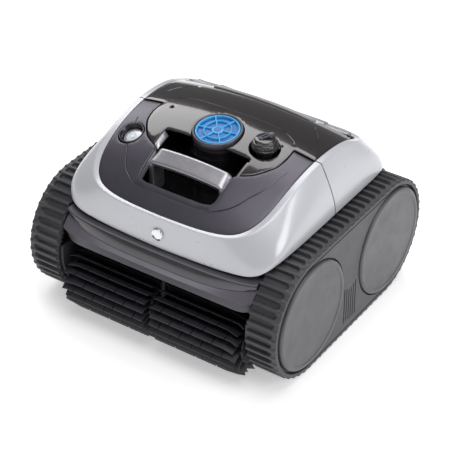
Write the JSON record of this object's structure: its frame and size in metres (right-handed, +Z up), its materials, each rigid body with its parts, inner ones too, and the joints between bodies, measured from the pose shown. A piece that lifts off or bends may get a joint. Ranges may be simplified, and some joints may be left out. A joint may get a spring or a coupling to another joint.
{
  "type": "tracked pool cleaner",
  "caption": "Cordless tracked pool-cleaning robot with a front roller brush, a rounded two-tone shell, a sunken carry handle and a hinged lid over its filter basket.",
  "frame": {"origin": "on the floor, under the middle of the whole cleaner", "axes": "+Z up, -Y towards the front roller brush, +X towards the cleaner's side that carries the charging port"},
  "size_m": [0.428, 0.416, 0.298],
  "materials": {
    "pearl_white": "glossy pearl white moulding",
    "graphite_satin": "satin graphite paint with fine flake",
    "handle_grey": "satin silver-grey paint",
    "smoked_lid": "high gloss smoked dark moulding",
    "hinge_grey": "glossy mid grey moulding",
    "well_black": "matt black moulding",
    "bumper_grey": "semi-gloss dark grey moulding",
    "lens_dark": "glossy smoked band",
    "lip_silver": "satin silver-grey paint",
    "hull_dark": "textured dark grey moulding",
    "frame_grey": "fine textured grey moulding",
    "disc_grey": "fine textured grey moulding",
    "drum_grey": "plain grey moulding",
    "track_rubber": "matt dark grey rubber",
    "brush_rubber": "soft black rubber",
    "roller_black": "black moulding",
    "grille_blue": "bright blue moulding",
    "cap_black": "dark knurled moulding",
    "button_silver": "satin silver",
    "badge_chrome": "bright chrome",
    "steel": "stainless steel",
    "motor_can": "sealed motor casing",
    "gear_nylon": "natural nylon",
    "battery_wrap": "shrink-wrapped pack",
    "board_case": "sealed electronics case",
    "lead_black": "black cable sheath",
    "seal_rubber": "black sealing rubber",
    "basket_grey": "light grey moulding",
    "mesh_cloth": "fine filter mesh",
    "flap_grey": "grey moulding"
  },
  "bodies": {
    "hull": {"hull_tub": "hull_dark", "bottom_plate": "hull_dark", "suction_throats": "hull_dark", "deck_frame": "well_black", "front_shell": "pearl_white", "rear_shell": "pearl_white", "rear_deck": "hinge_grey", "front_cover": "graphite_satin", "handle_well": "well_black", "handle_bar": "handle_grey", "button_seat": "graphite_satin", "charge_port": "cap_black", "badge": "badge_chrome", "front_bumper": "bumper_grey", "bumper_lens": "lens_dark", "bumper_lip": "lip_silver", "rear_bumper": "bumper_grey", "brush_bracket": "hull_dark", "brush_end_plates": "hull_dark", "left_side_frame": "frame_grey", "right_side_frame": "frame_grey", "left_belt": "track_rubber", "right_belt": "track_rubber", "wheel_axles": "steel", "left_drive_motor": "motor_can", "right_drive_motor": "motor_can", "battery_pack": "battery_wrap", "control_box": "board_case", "wiring_loom": "lead_black", "pump_motor": "motor_can", "pump_duct": "well_black", "duct_seal": "seal_rubber", "filter_basket": "basket_grey", "filter_mesh": "mesh_cloth", "lid_gasket": "seal_rubber", "hinge_pin": "steel", "case_screws": "steel"},
    "lid": {"lid": "smoked_lid", "hinge_cover": "hinge_grey", "grille_ring": "smoked_lid", "outlet_grille": "grille_blue"},
    "power_button": {"power_button": "button_silver"},
    "port_cap": {"port_cap": "cap_black"},
    "front_left_wheel": {"front_left_wheel": "drum_grey", "front_left_disc": "disc_grey"},
    "front_right_wheel": {"front_right_wheel": "drum_grey", "front_right_disc": "disc_grey"},
    "rear_left_wheel": {"rear_left_wheel": "drum_grey", "rear_left_disc": "disc_grey"},
    "rear_right_wheel": {"rear_right_wheel": "drum_grey", "rear_right_disc": "disc_grey"},
    "left_brush": {"left_roller_core": "roller_black", "left_brush_blades": "brush_rubber"},
    "right_brush": {"right_roller_core": "roller_black", "right_brush_blades": "brush_rubber"},
    "left_drive_pinion": {"left_drive_pinion": "gear_nylon"},
    "right_drive_pinion": {"right_drive_pinion": "gear_nylon"},
    "pump_impeller": {"pump_impeller": "gear_nylon"},
    "left_inlet_flap": {"left_inlet_flap": "flap_grey"},
    "right_inlet_flap": {"right_inlet_flap": "flap_grey"}
  },
  "joints": [
    {"name": "lid_hinge", "type": "hinge", "parent": "hull", "child": "lid", "pos_m": [0, 0.114, 0.2385], "axis": [-1, 0, 0], "range_deg": [0, 75]},
    {"name": "power_button_press", "type": "slide", "parent": "hull", "child": "power_button", "axis": [0.1364, 0.3272, -0.9351], "range_m": [0, 0.0015], "stiffness_N_per_m": 600},
    {"name": "port_cap_turn", "type": "hinge", "parent": "hull", "child": "port_cap", "pos_m": [0.076, -0.02, 0.28], "axis": [0, 0, 1], "range_deg": [0, 90]},
    {"name": "front_left_wheel_spin", "type": "hinge", "parent": "hull", "child": "front_left_wheel", "pos_m": [-0.187, -0.1055, 0.0944], "axis": [1, 0, 0], "continuous": true},
    {"name": "rear_left_wheel_spin", "type": "hinge", "parent": "hull", "child": "rear_left_wheel", "pos_m": [-0.187, 0.1055, 0.0944], "axis": [1, 0, 0], "continuous": true},
    {"name": "left_brush_spin", "type": "hinge", "parent": "hull", "child": "left_brush", "pos_m": [-0.078, -0.156, 0.053], "axis": [1, 0, 0], "continuous": true},
    {"name": "left_pinion_spin", "type": "hinge", "parent": "hull", "child": "left_drive_pinion", "pos_m": [-0.17, -0.04933, 0.0611], "axis": [1, 0, 0], "continuous": true},
    {"name": "front_right_wheel_spin", "type": "hinge", "parent": "hull", "child": "front_right_wheel", "pos_m": [0.187, -0.1055, 0.0944], "axis": [1, 0, 0], "continuous": true},
    {"name": "rear_right_wheel_spin", "type": "hinge", "parent": "hull", "child": "rear_right_wheel", "pos_m": [0.187, 0.1055, 0.0944], "axis": [1, 0, 0], "continuous": true},
    {"name": "right_brush_spin", "type": "hinge", "parent": "hull", "child": "right_brush", "pos_m": [0.078, -0.156, 0.053], "axis": [1, 0, 0], "continuous": true},
    {"name": "right_pinion_spin", "type": "hinge", "parent": "hull", "child": "right_drive_pinion", "pos_m": [0.17, -0.04933, 0.0611], "axis": [1, 0, 0], "continuous": true},
    {"name": "impeller_spin", "type": "hinge", "parent": "hull", "child": "pump_impeller", "pos_m": [0, -0.025, 0.223], "axis": [0, 0, 1], "continuous": true},
    {"name": "left_flap_hinge", "type": "hinge", "parent": "hull", "child": "left_inlet_flap", "pos_m": [-0.055, 0.063, 0.0645], "axis": [-1, 0, 0], "range_deg": [0, 65]},
    {"name": "right_flap_hinge", "type": "hinge", "parent": "hull", "child": "right_inlet_flap", "pos_m": [0.055, 0.063, 0.0645], "axis": [-1, 0, 0], "range_deg": [0, 65]}
  ],
  "couplings": [
    {"joint": "rear_left_wheel_spin", "follows": "front_left_wheel_spin", "ratio": 1},
    {"joint": "left_brush_spin", "follows": "front_left_wheel_spin", "ratio": 6},
    {"joint": "left_pinion_spin", "follows": "front_left_wheel_spin", "ratio": 6},
    {"joint": "rear_right_wheel_spin", "follows": "front_right_wheel_spin", "ratio": 1},
    {"joint": "right_brush_spin", "follows": "front_right_wheel_spin", "ratio": 6},
    {"joint": "right_pinion_spin", "follows": "front_right_wheel_spin", "ratio": 6}
  ]
}
